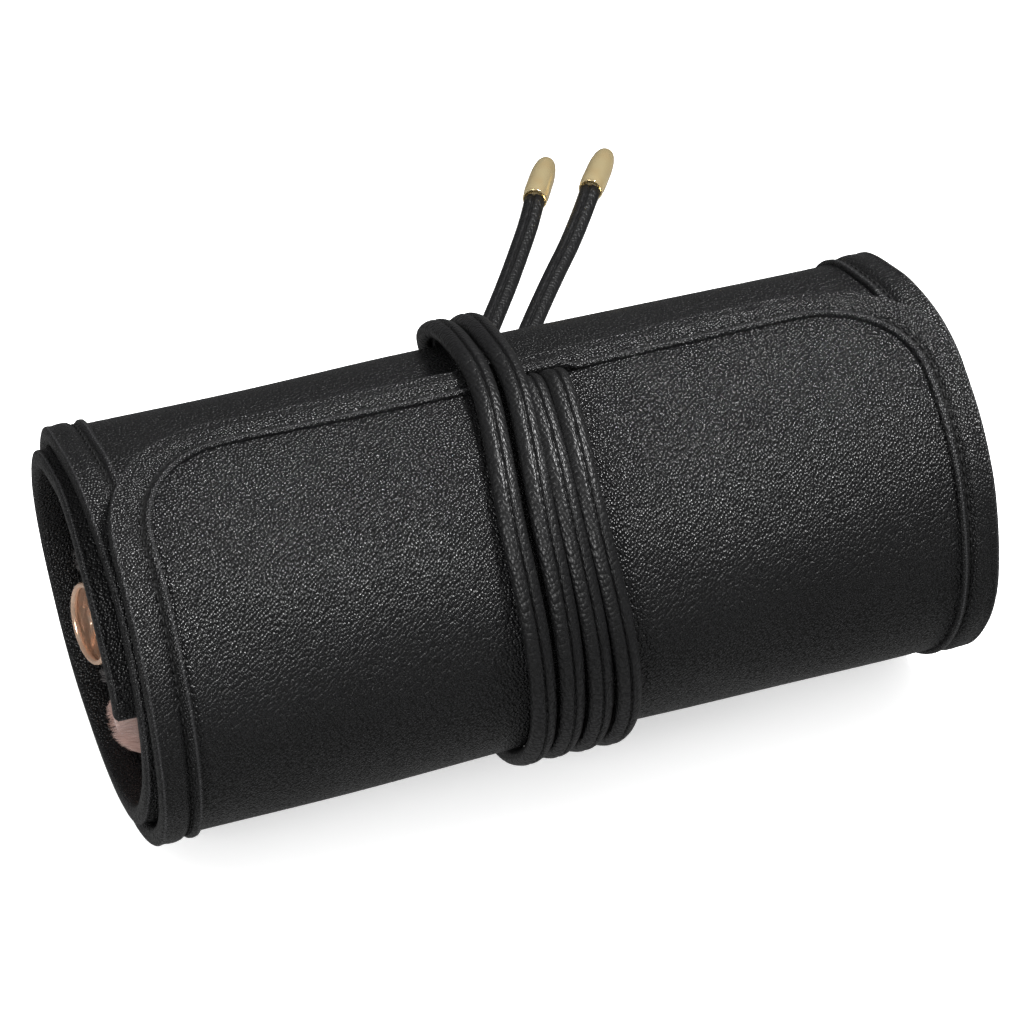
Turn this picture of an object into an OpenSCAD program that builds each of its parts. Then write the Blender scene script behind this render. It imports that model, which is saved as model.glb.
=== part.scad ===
// Tied brush roll case: a padded leather sheet rolled two and a quarter turns round a set of
// brushes, with a rounded front flap, bound edges and two long ties with metal end caps.
// X runs along the roll, Y to the back and Z up. The origin is on the table, under the middle.

/* [Roll] */
// Length of the rolled sheet along X
sheet_len = 212; // [204:1:220]
// Half of the roll's depth, front to back
roll_a = 53.7; // [52:0.1:56]
// Half of the roll's height
roll_b = 48.7; // [47.5:0.1:51]
// How far each inner turn has slipped along the roll
turn_slip = 1.75; // [0.5:0.25:3]

/* [Sheet] */
// Thickness of the outer leather with its padding
cover_t = 1.6; // [1.2:0.1:1.8]
// Thickness of the lining
lining_t = 1.4; // [1:0.1:1.6]
// How far the edge tape stands proud of each face
tape_t = 0.6; // [0.4:0.1:0.7]
// Width of the edge tape
tape_w = 10; // [8:0.5:12]
// Corner radius of the flap
corner_r = 34; // [25:1:36]

/* [Ties] */
// Width of one tie
tie_w = 6.4; // [5.6:0.1:6.4]
// Thickness of one tie
tie_t = 4.6; // [4:0.1:4.6]
// Outer diameter of an end cap
cap_d = 8; // [7:0.1:9]
// Length of an end cap
cap_len = 22; // [18:1:26]

/* [Brushes] */
// Outer diameter of the large metal brush barrel
barrel_d = 20.6; // [18:0.1:20.6]
// Depth of the barrel's open mouth
barrel_mouth = 14; // [8:1:20]
// Length of the pocket panel along X
pocket_len = 104; // [90:1:107]

/* [Hidden] */

sheet_t = cover_t + lining_t;
tie_off = tape_t + 0.6 + tie_t / 2;          // centre of a tie above the leather
axis_z = roll_b + tie_off + tie_t / 2;       // height of the roll's middle
step = 4;                                    // degrees between outline points

// Angles run round the section: 0 front, 90 top, 180 back, -90 bottom. Going inwards along the
// sheet they fall from flap_top through two and a quarter turns to sheet_end.
flap_top = 100;
flap_root = -84;
turn_split = -450;
sheet_end = -712;
flap_parts = 6;
flap_step = (flap_top - flap_root) / flap_parts;
hinge_gap = 0.25;                            // degrees left free beside each flap hinge

// Depth of the sheet's outer face under the roll's outline, at chosen angles
DEPTHS = [
    [120, 0], [-185, 0], [-215, 0.8], [-250, 4.9], [-300, 5.4], [-340, 7.6], [-380, 7.2],
    [-425, 5.0], [-450, 4.7], [-545, 4.7], [-575, 5.7], [-610, 10.2], [-655, 13],
    [-690, 15.5], [-715, 16.5]
];
// Distance along X of the two ties, at chosen angles along their wraps
WRAP_LEFT = [
    [87, 4.4], [42, 0.4], [-30, 3.2], [-90, 5], [-180, 3], [-230, -5.2], [-262, -8.4],
    [-318, -13.6], [-390, -11.6], [-450, -9.4]
];
WRAP_RIGHT = [
    [87, 11], [42, 6.9], [-30, 10.2], [-90, 12.5], [-180, 11.5], [-230, 5], [-262, -1.8],
    [-318, -6.1], [-390, -4.2], [-450, -1.6]
];
wrap_end_y = 24;
// Routes of the two tails over the table
TAIL_LEFT = [
    [-9.4, 26, 2.3], [-9, 37, 2.3], [-6.4, 52, 2.3], [-0.5, 68, 2.3], [7.5, 85, 2.3],
    [17, 103, 2.3], [27.5, 120, 2.3], [38, 137, 2.3], [48.5, 153, 2.3], [59, 169, 2.3],
    [69, 185, 2.4], [77, 198, 3.2], [82, 207, 4]
];
TAIL_RIGHT = [
    [-1.6, 26, 2.3], [-1.2, 37, 2.3], [2, 52, 2.3], [8.5, 68, 2.3], [17.5, 84, 2.3],
    [28, 101, 2.3], [39, 118, 2.3], [50.5, 135, 2.3], [62, 152, 2.3], [74, 169, 2.3],
    [85, 184, 2.4], [94, 197, 3.2], [100, 206, 4]
];

// Brushes: angle round the section, depth of the axis under the outline, and head and handle radii
POWDER = [-94, 16, 7.2, 4.2];
SHADER = [-118, 12.6, 3.5, 2.5];
LINER = [-142, 12.6, 3.5, 2.5];
BLUSH = [-166, 15.4, 6, 3.5];
CREASE = [-190, 14.6, 5, 3];
BARREL = [-136, 27.2, barrel_d / 2, 5];
powder_spread = 4.5;                         // half of the extra width of the flat powder head
pocket_x = -14;                              // mouth of the pocket
pocket_t = 1.2;
POCKET_SEAMS = [-82, -106, -130, -154, -178, -200];
POCKET_RISE = [13.6, 8.3, 8.3, 12.2, 10.9];  // how far each channel bulges off the lining
pocket_floor = 8.4;

leather = [0.06, 0.06, 0.065];
lining_colour = [0.09, 0.09, 0.095];
tape_colour = [0.04, 0.04, 0.045];
gold = [0.86, 0.68, 0.33];
copper = [0.8, 0.5, 0.36];
ebony = [0.05, 0.045, 0.045];
pink_hair = [0.72, 0.5, 0.45];
dark_hair = [0.08, 0.07, 0.07];

function ease(t) = t * t * (3 - 2 * t);
// Value at angle p in a table whose angles fall
function along(table, p, i = 0) =
    i >= len(table) - 2 || p >= table[i + 1][0]
        ? let (t = (table[i][0] - p) / (table[i][0] - table[i + 1][0]))
          table[i][1] + (table[i + 1][1] - table[i][1]) * ease(min(1, max(0, t)))
        : along(table, p, i + 1);
// Point at angle p, a depth d under the roll's outline
function oval(p, d) =
    let (n = [-roll_b * cos(p), roll_a * sin(p)])
    [-roll_a * cos(p), roll_b * sin(p)] - d * n / norm(n);
function angles(from, to, by = step) =
    let (n = ceil((from - to) / by)) [for (i = [0:n]) from + (to - from) * i / n];
function strip(from, to, low, high) = concat(
    [for (p = angles(from, to)) oval(p, along(DEPTHS, p) + low)],
    [for (p = angles(to, from, -step)) oval(p, along(DEPTHS, p) + high)]
);

// A section drawn in (Y, Z), stretched along X from x0 to x1, at the roll's height
module along_x(x0, x1) {
    translate([x0, 0, axis_z]) rotate([90, 0, 90]) linear_extrude(x1 - x0) children();
}
module band(x0, x1, from, to, low, high) {
    along_x(x0, x1) polygon(strip(from, to, low, high));
}
// Tape folded over one end of a band: two leaves and the web between them
module end_tape(x_end, side, from, to) {
    x_in = x_end - side * tape_w;
    x_web = x_end - side;
    band(min(x_end, x_in), max(x_end, x_in), from, to, -tape_t, 0);
    band(min(x_end, x_in), max(x_end, x_in), from, to, sheet_t, sheet_t + tape_t);
    band(min(x_end, x_web), max(x_end, x_web), from, to, 0, sheet_t);
}

// ---- outer turn: bottom, back, top and the layer under the flap
outer_half = sheet_len / 2;
module outer_cover() {
    color(leather)
        band(-outer_half + 1, outer_half - 1, flap_root - hinge_gap, turn_split, 0, cover_t);
}
module outer_lining() {
    color(lining_colour)
        band(-outer_half + 1, outer_half - 1, flap_root - hinge_gap, turn_split, cover_t, sheet_t);
}
module outer_tape(side) {
    color(tape_colour) end_tape(side * outer_half, side, flap_root - hinge_gap, turn_split);
}

// ---- inner turn: inner back, inner top and the layer nearest to the brushes
inner_left = -outer_half - turn_slip;
inner_right = outer_half - turn_slip;
module inner_cover() {
    color(leather)
        band(inner_left + 1, inner_right - 1, turn_split, sheet_end, 0, cover_t);
}
module inner_lining() {
    color(lining_colour)
        band(inner_left + 1, inner_right - 1, turn_split, sheet_end, cover_t, sheet_t);
}
module inner_tape(x_end, side) {
    color(tape_colour) end_tape(x_end, side, turn_split, sheet_end);
}
module inner_end_tape() {
    color(tape_colour)
        band(inner_left, inner_right, sheet_end, sheet_end - 2, -tape_t, sheet_t + tape_t);
}

// ---- pocket for the brush handles, sewn to the lining between its channels
function seam_of(p, i = 0) =
    i >= len(POCKET_RISE) - 1 || p >= POCKET_SEAMS[i + 1] ? i : seam_of(p, i + 1);
function pocket_depth(p) =
    let (i = seam_of(p), t = (POCKET_SEAMS[i] - p) / (POCKET_SEAMS[i] - POCKET_SEAMS[i + 1]))
    pocket_floor + POCKET_RISE[i] * pow(abs(sin(180 * t)), 0.45);
module pocket_sheet(x0, x1, low, high) {
    first = POCKET_SEAMS[0];
    last = POCKET_SEAMS[len(POCKET_SEAMS) - 1];
    along_x(x0, x1) polygon(concat(
        [for (p = angles(first, last, 2)) oval(p, pocket_depth(p) + low)],
        [for (p = angles(last, first, -2)) oval(p, pocket_depth(p) + high)]
    ));
}
module pocket_panel() {
    color(lining_colour) pocket_sheet(pocket_x + 4, pocket_x + pocket_len, 0, pocket_t);
}
module pocket_hem() {
    color(tape_colour) pocket_sheet(pocket_x, pocket_x + 4, -0.2, pocket_t + 0.3);
}

// ---- flap: six stretches that hinge on each other along X
flap_left = -outer_half + turn_slip;
flap_right = outer_half + turn_slip;
flap_facing = 13;                            // tilt of the square-on view of the free edge
flap_crest = 19.5;                           // where the free edge lies in that view
function part_top(i) = i == flap_parts ? flap_top + 4 : flap_root + i * flap_step - hinge_gap;
// The free edge's outline seen square on, with its corners rounded
module flap_outline(inset) {
    left = flap_left + inset;
    right = flap_right - inset;
    top = flap_crest - inset;
    r = corner_r - inset;
    translate([left, -60]) square([right - left, 60 + top - r]);
    translate([left + r, -60]) square([right - left - 2 * r, 60 + top]);
    translate([left + r, top - r]) circle(r, $fn = 96);
    translate([right - r, top - r]) circle(r, $fn = 96);
}
// Prism through the free edge: all within the outline, or a rim of it when width is given
module flap_cutter(inset, width = 0) {
    translate([0, 0, axis_z]) rotate([flap_facing, 0, 0]) linear_extrude(80) difference() {
        flap_outline(inset);
        if (width > 0) flap_outline(inset + width);
    }
}
function part_low(i) = flap_root + (i - 1) * flap_step + hinge_gap;
module free_layer(i, low, high, inset, width = 0) {
    intersection() {
        band(flap_left - 3, flap_right + 3, part_top(i), part_low(i), low, high);
        flap_cutter(inset, width);
    }
}
// The last two stretches carry the rounded corners
module flap_layer(i, low, high) {
    if (i >= flap_parts - 1) free_layer(i, low, high, 1);
    else band(flap_left + 1, flap_right - 1, part_top(i), part_low(i), low, high);
}
module flap_panel(i) {
    color(leather) flap_layer(i, 0, cover_t);
}
module flap_lining(i) {
    color(lining_colour) flap_layer(i, cover_t, sheet_t);
}
module flap_tape(i) {
    color(tape_colour) if (i >= flap_parts - 1) {
        free_layer(i, -tape_t, 0, 0, tape_w);
        free_layer(i, sheet_t, sheet_t + tape_t, 0, tape_w);
        free_layer(i, 0, sheet_t, 0, 1);
    } else {
        end_tape(flap_left, -1, part_top(i), part_low(i));
        end_tape(flap_right, 1, part_top(i), part_low(i));
    }
}

// ---- ties
tie_sides = 12;
tie_reach = 0.5 / cos(180 / tie_sides);      // so that the tie's flats lie at its width and height
function tie_ring(at, tangent, across) =
    let (rise = cross(tangent, across))
    [for (k = [0:tie_sides - 1]) let (a = 360 * (k + 0.5) / tie_sides)
        at + across * cos(a) * tie_w * tie_reach + rise * sin(a) * tie_t * tie_reach];
function unit(v) = v / norm(v);
function tangent_at(pts, i) = unit(pts[min(i + 1, len(pts) - 1)] - pts[max(i - 1, 0)]);
// A flat-oval tube swept along pts; flat holds the direction across the tie at each point
module sweep_tie(pts, flat) {
    n = tie_sides;
    rings = [for (i = [0:len(pts) - 1])
        let (t = tangent_at(pts, i)) tie_ring(pts[i], t, unit(flat[i] - t * (flat[i] * t)))];
    last = (len(pts) - 1) * n;
    polyhedron(
        points = [for (ring = rings) each ring],
        faces = concat(
            [[for (k = [0:n - 1]) k]],
            [for (i = [0:len(pts) - 2], k = [0:n - 1])
                [i * n + k, (i + 1) * n + k, (i + 1) * n + (k + 1) % n, i * n + (k + 1) % n]],
            [[for (k = [n - 1:-1:0]) last + k]]
        )
    );
}
function wrap_point(table, p) =
    let (s = oval(p, -tie_off)) [along(table, p), s[0], s[1] + axis_z];
function wrap_route(table) = concat(
    [for (p = angles(table[0][0], turn_split, 15)) wrap_point(table, p)],
    [for (y = [wrap_end_y / 2, wrap_end_y]) [table[len(table) - 1][1], y, tie_t / 2]]
);
module tie_wrap(table) {
    pts = wrap_route(table);
    color(leather) sweep_tie(pts, [for (p = pts) [1, 0, 0]]);
}
module tie_tail(pts) {
    color(leather) sweep_tie(pts, [for (i = [0:len(pts) - 1]) cross(tangent_at(pts, i), [0, 0, 1])]);
}
// Sewn tab on the flap that holds both ties, just under the tape of the free edge
module tie_anchor() {
    color(tape_colour)
        band(WRAP_LEFT[0][1] - 2.6, WRAP_RIGHT[0][1] + 3.4, 93, 87.6, -tape_t - 1.5, -tape_t - 0.1);
}
module end_cap(pts) {
    last = len(pts) - 1;
    d = pts[last] - pts[last - 2];
    mouth = tie_w / 2 + 0.5;
    color(gold) translate([pts[last][0], pts[last][1], cap_d / 2])
        rotate([0, 90, atan2(d[1], d[0])]) rotate_extrude($fn = 64) polygon(concat(
            [[0, 0], [mouth, 0], [cap_d / 2 - 0.1, 0.5], [cap_d / 2, 2]],
            [for (k = [0:8])
                [cap_d * (0.28 + 0.22 * cos(k * 10)), cap_len * (0.55 + 0.4 * sin(k * 10))]],
            [[cap_d * 0.2, cap_len * 0.985], [0, cap_len]]
        ));
}

// ---- brushes, lying along X with their heads at the left end
function brush_at(b) = let (s = oval(b[0], b[1])) [0, s[0], s[1] + axis_z];
module turned(b, x, profile) {
    translate(brush_at(b) + [x, 0, 0]) rotate([0, 90, 0])
        rotate_extrude($fn = 48) polygon(profile);
}
head_x = -104;                               // tip of the heads
head_len = 26;
ferrule_len = 24;
module handle(b, length) {
    r = b[3];
    x = head_x + head_len + ferrule_len - 6;
    color(ebony) turned(b, x, concat(
        [[0, 0], [r * 0.7, 0], [r * 0.7, 4.2], [r, 12]],
        [for (k = [0:6]) [r * (1 - 0.08 * k), 14 + (length - 18) * k / 6]],
        [[r * 0.3, length], [0, length]]
    ));
}
module ferrule(b, metal) {
    r = b[3];
    neck = min(b[2], r + 1.6) * 0.8;
    color(metal) turned(b, head_x + head_len - 4, [
        [r * 0.72, ferrule_len + 2], [r + 0.4, ferrule_len + 2], [r + 0.4, ferrule_len - 6],
        [neck, 0.8], [neck - 0.4, 0], [neck - 0.5, 0], [neck - 0.6, 1.5],
        [r * 0.72, ferrule_len - 4]
    ]);
}
function dome(r, neck) = concat(
    [[0, 0]],
    [for (k = [0:8]) [r * sin(k * 11.25), head_len * 0.5 * (1 - cos(k * 11.25))]],
    [[(r + neck) / 2, head_len * 0.7], [neck, head_len - 4.1], [0, head_len - 4.1]]
);
module hair(b, tint) {
    neck = min(b[2], b[3] + 1.6) * 0.8 - 0.1;
    color(tint) turned(b, head_x, dome(b[2], neck));
}
module powder_hair() {
    r = POWDER[2];
    base = head_len - 4.1;
    color(pink_hair) hull() for (y = [-powder_spread, powder_spread])
        translate([0, y, 0]) turned(POWDER, head_x,
            [[0, 0], [r * 0.64, 1.2], [r * 0.92, 5], [r, 11], [r * 0.64, base], [0, base]]);
}
module barrel_sleeve() {
    r = BARREL[2];
    wall = 0.7;
    long = 46;
    color(copper) turned(BARREL, head_x, [
        [r - wall, 0], [r - 0.2, 0], [r, 0.3], [r, long], [BARREL[3] + 0.2, long + 8],
        [BARREL[3] + 0.2, long], [r - wall, long - 4]
    ]);
}
module barrel_core() {
    r = BARREL[2] - 0.8;
    color(gold) turned(BARREL, head_x + barrel_mouth, [
        [0, 1.5], [3.2, 1.5], [3.2, 0], [4, 0], [4, 1.5], [r, 1.5], [r, 3.5], [0, 3.5]
    ]);
}
module barrel_handle() {
    r = BARREL[3];
    color(ebony) turned(BARREL, head_x + barrel_mouth + 3.6, [
        [0, 0], [r, 0], [r, 60], [r + 1.2, 66], [r + 1.2, 100], [r - 0.6, 130], [0, 132]
    ]);
}

outer_cover();
outer_lining();
outer_tape(-1);  // outer_tape_left
outer_tape(1);  // outer_tape_right
inner_cover();
inner_lining();
inner_tape(inner_left, -1);  // inner_tape_left
inner_tape(inner_right, 1);  // inner_tape_right
inner_end_tape();
pocket_panel();
pocket_hem();
flap_panel(1);  // flap_panel_1
flap_panel(2);  // flap_panel_2
flap_panel(3);  // flap_panel_3
flap_panel(4);  // flap_panel_4
flap_panel(5);  // flap_panel_5
flap_panel(6);  // flap_panel_6
flap_lining(1);  // flap_lining_1
flap_lining(2);  // flap_lining_2
flap_lining(3);  // flap_lining_3
flap_lining(4);  // flap_lining_4
flap_lining(5);  // flap_lining_5
flap_lining(6);  // flap_lining_6
flap_tape(1);  // flap_tape_1
flap_tape(2);  // flap_tape_2
flap_tape(3);  // flap_tape_3
flap_tape(4);  // flap_tape_4
flap_tape(5);  // flap_tape_5
flap_tape(6);  // flap_tape_6
tie_anchor();
tie_wrap(WRAP_LEFT);  // tie_wrap_left
tie_wrap(WRAP_RIGHT);  // tie_wrap_right
tie_tail(TAIL_LEFT);  // tie_tail_left
tie_tail(TAIL_RIGHT);  // tie_tail_right
end_cap(TAIL_LEFT);  // end_cap_left
end_cap(TAIL_RIGHT);  // end_cap_right
handle(POWDER, 118);  // powder_handle
ferrule(POWDER, gold);  // powder_ferrule
powder_hair();
handle(SHADER, 124);  // shader_handle
ferrule(SHADER, gold);  // shader_ferrule
hair(SHADER, dark_hair);  // shader_hair
handle(LINER, 120);  // liner_handle
ferrule(LINER, gold);  // liner_ferrule
hair(LINER, dark_hair);  // liner_hair
handle(BLUSH, 122);  // blush_handle
ferrule(BLUSH, gold);  // blush_ferrule
hair(BLUSH, dark_hair);  // blush_hair
handle(CREASE, 124);  // crease_handle
ferrule(CREASE, gold);  // crease_ferrule
hair(CREASE, dark_hair);  // crease_hair
barrel_handle();
barrel_sleeve();
barrel_core();
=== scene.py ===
import math

import bpy
import numpy as np
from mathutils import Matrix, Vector


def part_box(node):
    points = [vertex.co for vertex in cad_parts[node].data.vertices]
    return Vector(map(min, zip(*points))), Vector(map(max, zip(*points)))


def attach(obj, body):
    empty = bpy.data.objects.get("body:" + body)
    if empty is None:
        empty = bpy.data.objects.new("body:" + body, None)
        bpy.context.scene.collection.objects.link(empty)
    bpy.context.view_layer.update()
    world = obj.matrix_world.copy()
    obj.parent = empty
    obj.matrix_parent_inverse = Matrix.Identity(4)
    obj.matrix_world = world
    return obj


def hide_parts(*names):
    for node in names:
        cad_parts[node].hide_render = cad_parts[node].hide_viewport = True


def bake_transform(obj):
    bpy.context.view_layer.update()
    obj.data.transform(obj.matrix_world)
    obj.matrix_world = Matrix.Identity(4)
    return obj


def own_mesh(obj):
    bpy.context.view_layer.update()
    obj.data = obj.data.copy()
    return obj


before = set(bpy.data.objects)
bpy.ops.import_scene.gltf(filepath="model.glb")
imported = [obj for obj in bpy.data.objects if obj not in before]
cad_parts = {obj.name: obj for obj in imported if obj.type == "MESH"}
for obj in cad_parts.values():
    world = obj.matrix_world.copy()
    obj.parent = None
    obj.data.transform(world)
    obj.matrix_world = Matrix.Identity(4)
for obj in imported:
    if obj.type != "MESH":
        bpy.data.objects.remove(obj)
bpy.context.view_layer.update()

MM = 0.001
rng = np.random.default_rng(41)

# ---- the roll's section, in millimetres: angles run 0 front, 90 top, 180 back, -90 bottom, and
# fall going inwards along the sheet
ROLL_A = 53.7
ROLL_B = 48.7
AXIS_Z = 54.5
SHEET = 3.0
COVER = 1.6
HALF = 106.0
TAPE_W = 10.0
CORNER_R = 34.0
FLAP_TOP = 100.0
FLAP_ROOT = -84.0
FLAP_PARTS = sum(1 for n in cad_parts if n.startswith("flap_panel_"))
FLAP_STEP = (FLAP_TOP - FLAP_ROOT) / FLAP_PARTS
SHEET_END = -712.0
# How deep each turn lies under the outline, how far it has slipped along X, and how far its right
# side flares out, as (angle, mm)
DEPTHS = [
    (120, 0), (-185, 0), (-215, 0.8), (-250, 4.9), (-300, 6.2), (-340, 8.2), (-380, 7.4),
    (-425, 5.0), (-450, 4.7), (-545, 4.7), (-575, 5.7), (-610, 10.2), (-655, 14.2),
    (-690, 17.5), (-715, 19),
]
SLIPS = [
    (120, 1.4), (-30, 1.2), (-140, 0), (-400, -0.5), (-500, -1.9), (-600, -3.6), (-660, -4.6),
    (-715, -3.6),
]
FLARES = [(-150, 0), (-205, 5.5), (-275, 5.5), (-350, 0)]
TIE_W = 6.4
TIE_T = 4.6
# X of the two ties at chosen angles along their wraps, and then the routes of the two tails
WRAP_LEFT = [
    (91, 3.4), (42, -0.1), (-30, 3.2), (-90, 5), (-180, 2), (-228, -6.5), (-262, -7.9),
    (-318, -13.6), (-390, -11.6), (-450, -9.4),
]
WRAP_RIGHT = [
    (91, 9.7), (42, 6.2), (-30, 10.2), (-90, 12.5), (-180, 10.4), (-228, 1.6), (-262, -0.2),
    (-318, -6.1), (-390, -4.2), (-450, -1.6),
]
WRAP_END_Y = 24
TAIL_LEFT = [
    (-9.4, 26, 2.3), (-9, 37, 2.3), (-6.4, 52, 2.3), (-0.5, 68, 2.3), (7.5, 85, 2.3),
    (17, 103, 2.3), (27.5, 120, 2.3), (38, 137, 2.3), (48.5, 153, 2.3), (59, 169, 2.3),
    (69, 185, 2.4), (77, 198, 3.2), (82, 207, 4),
]
TAIL_RIGHT = [
    (-1.6, 26, 2.3), (-1.2, 37, 2.3), (2, 52, 2.3), (8.5, 68, 2.3), (17.5, 84, 2.3),
    (28, 101, 2.3), (39, 118, 2.3), (50.5, 135, 2.3), (62, 152, 2.3), (74, 169, 2.3),
    (85, 184, 2.4), (94, 197, 3.2), (100, 206, 4),
]
WRAP_START = WRAP_LEFT[0][0]
WRAP_STOP = WRAP_LEFT[-1][0]
CAP_D = 8.0
CAP_LEN = 22.0

# ---- camera
CAMERA_AZIMUTH = math.radians(-19.8)
CAMERA_ELEVATION = math.radians(40)
CAMERA_DISTANCE = 0.829


def set_camera():
    aim = Vector((0, 0, AXIS_Z * MM))
    azimuth, elevation = CAMERA_AZIMUTH, CAMERA_ELEVATION
    back = Vector((
        math.sin(azimuth) * math.cos(elevation),
        -math.cos(azimuth) * math.cos(elevation),
        math.sin(elevation),
    ))
    data = bpy.data.cameras.new("camera")
    data.lens = 117.6
    data.shift_y = 0.0254
    data.clip_end = 20
    camera = bpy.data.objects.new("camera", data)
    camera.location = aim + back * CAMERA_DISTANCE
    camera.rotation_euler = back.to_track_quat("Z", "Y").to_euler()
    bpy.context.scene.collection.objects.link(camera)
    bpy.context.scene.camera = camera


set_camera()


# ---- node helpers
class Nodes:
    """A material's node tree, with short calls for the nodes used here."""

    def __init__(self, name):
        self.material = bpy.data.materials.new(name)
        self.material.use_nodes = True
        self.tree = self.material.node_tree
        self.shader = self.tree.nodes["Principled BSDF"]

    def add(self, kind, **values):
        node = self.tree.nodes.new(kind)
        for key, value in values.items():
            setattr(node, key, value)
        return node

    def link(self, source, target):
        self.tree.links.new(source, target)

    def flat(self, scale=(1, 1, 1), turn=0):
        """The sheet's own flat coordinates, so that the grain bends with it."""
        attribute = self.add("ShaderNodeAttribute", attribute_name="flat")
        mapping = self.add("ShaderNodeMapping")
        mapping.inputs["Scale"].default_value = scale
        mapping.inputs["Rotation"].default_value = (0, 0, turn)
        self.link(attribute.outputs["Vector"], mapping.inputs["Vector"])
        return mapping.outputs["Vector"]

    def noise(self, vector, scale, detail=2.0, roughness=0.5):
        node = self.add("ShaderNodeTexNoise")
        node.inputs["Scale"].default_value = scale
        node.inputs["Detail"].default_value = detail
        node.inputs["Roughness"].default_value = roughness
        self.link(vector, node.inputs["Vector"])
        return node.outputs["Fac"]

    def bent(self, vector, scale, amount):
        """The vector pushed about by a noise."""
        node = self.add("ShaderNodeTexNoise")
        node.inputs["Scale"].default_value = scale
        self.link(vector, node.inputs["Vector"])
        shift = self.add("ShaderNodeVectorMath", operation="MULTIPLY_ADD")
        shift.inputs[1].default_value = (amount, amount, amount)
        self.link(node.outputs["Color"], shift.inputs[0])
        self.link(vector, shift.inputs[2])
        return shift.outputs["Vector"]

    def cells(self, vector, scale):
        """The distance to the middle of the nearest pebble, in pebbles."""
        node = self.add("ShaderNodeTexVoronoi", feature="F1")
        node.inputs["Scale"].default_value = scale
        node.inputs["Randomness"].default_value = 0.75
        self.link(vector, node.inputs["Vector"])
        return node.outputs["Distance"]

    def waves(self, vector, scale, distortion, direction="X"):
        node = self.add("ShaderNodeTexWave", bands_direction=direction)
        node.inputs["Scale"].default_value = scale
        node.inputs["Distortion"].default_value = distortion
        self.link(vector, node.inputs["Vector"])
        return node.outputs["Fac"]

    def spread(self, value, low, high, to_low, to_high):
        """The value with low to high eased into to_low to to_high."""
        node = self.add("ShaderNodeMapRange", interpolation_type="SMOOTHSTEP")
        for socket, number in zip(node.inputs[1:5], (low, high, to_low, to_high)):
            socket.default_value = number
        self.link(value, node.inputs["Value"])
        return node.outputs["Result"]

    def sum(self, first, second, share):
        """first plus a share of second."""
        node = self.add("ShaderNodeMath", operation="MULTIPLY_ADD")
        node.inputs[1].default_value = share
        self.link(second, node.inputs[0])
        self.link(first, node.inputs[2])
        return node.outputs["Value"]

    def dome(self, distance):
        """A rounded height of each cell: 1 in its middle, falling to its edge."""
        square = self.add("ShaderNodeMath", operation="MULTIPLY")
        self.link(distance, square.inputs[0])
        self.link(distance, square.inputs[1])
        height = self.add("ShaderNodeMapRange", interpolation_type="LINEAR")
        edge = 0.78
        for socket, number in zip(height.inputs[1:5], (0.0, edge, 1.0, 0.0)):
            socket.default_value = number
        self.link(square.outputs["Value"], height.inputs["Value"])
        return height.outputs["Result"]

    def line(self, place, width):
        """1 along a line across the tape's own width, fading to 0 beside it."""
        attribute = self.add("ShaderNodeAttribute", attribute_name="flat")
        split = self.add("ShaderNodeSeparateXYZ")
        offset = self.add("ShaderNodeMath", operation="SUBTRACT")
        offset.inputs[1].default_value = place
        size = self.add("ShaderNodeMath", operation="ABSOLUTE")
        self.link(attribute.outputs["Vector"], split.inputs[0])
        self.link(split.outputs["X"], offset.inputs[0])
        self.link(offset.outputs[0], size.inputs[0])
        return self.spread(size.outputs[0], 0, width, 1, 0)

    def blend(self, value, colour, other):
        """A linked colour turning into another plain one as the value rises."""
        node = self.add("ShaderNodeMix", data_type="RGBA")
        node.inputs[7].default_value = (*other, 1)
        self.link(colour, node.inputs[6])
        self.link(value, node.inputs["Factor"])
        return node.outputs[2]

    def colours(self, value, low, high):
        """Plain colours from low to high as the value rises."""
        node = self.add("ShaderNodeMix", data_type="RGBA")
        node.inputs[6].default_value = (*low, 1)
        node.inputs[7].default_value = (*high, 1)
        self.link(value, node.inputs["Factor"])
        return node.outputs[2]

    def finish(self, colour, roughness, height=None, depth=0.0001, strength=1.0):
        self.link(colour, self.shader.inputs["Base Color"])
        self.link(roughness, self.shader.inputs["Roughness"])
        if height is not None:
            bump = self.add("ShaderNodeBump")
            bump.inputs["Strength"].default_value = strength
            bump.inputs["Distance"].default_value = depth
            self.link(height, bump.inputs["Height"])
            self.link(bump.outputs["Normal"], self.shader.inputs["Normal"])
        return self.material


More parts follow.
